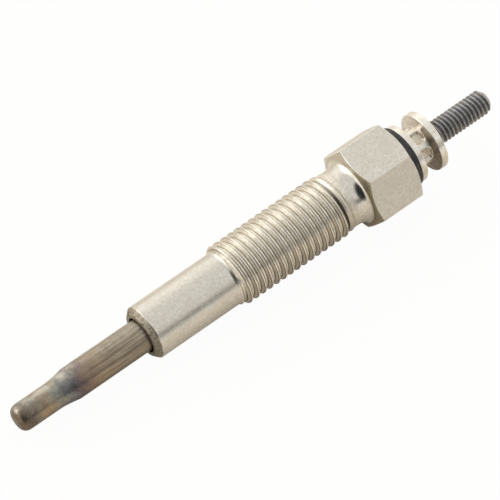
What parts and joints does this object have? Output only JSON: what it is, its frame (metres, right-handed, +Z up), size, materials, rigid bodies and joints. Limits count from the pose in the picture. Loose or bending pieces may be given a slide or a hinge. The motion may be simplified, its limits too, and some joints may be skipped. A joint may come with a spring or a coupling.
{
  "type": "glow plug",
  "caption": "Diesel glow plug: tapered heater sheath in a threaded steel body with a hexagon, an insulated collar and a threaded terminal stud, lying on a flat of the hexagon.",
  "frame": {"origin": "middle of the plug's length on the surface it lies on", "axes": "+X along the plug from heater tip to terminal stud, +Z up from the surface; the plug lies on a flat of its hexagon, its axis tipped 2.7 degrees down towards the heater"},
  "size_m": [0.0854, 0.0138, 0.0124],
  "materials": {
    "plated_steel": "satin",
    "heat_tinted_alloy": "matte",
    "dark_steel": "matte",
    "collar_plate": "satin",
    "black_plastic": "satin",
    "packed_powder": "matte",
    "heating_wire": "satin",
    "control_wire": "satin",
    "seal_rubber": "matte"
  },
  "bodies": {
    "root": {"housing": "plated_steel", "heater_sheath": "heat_tinted_alloy", "magnesia_filling": "packed_powder", "heating_coil": "heating_wire", "control_coil": "control_wire", "sheath_seal": "seal_rubber", "centre_rod": "dark_steel", "sealing_ring": "seal_rubber", "insulating_bush": "black_plastic", "terminal_collar": "collar_plate"}
  },
  "joints": []
}
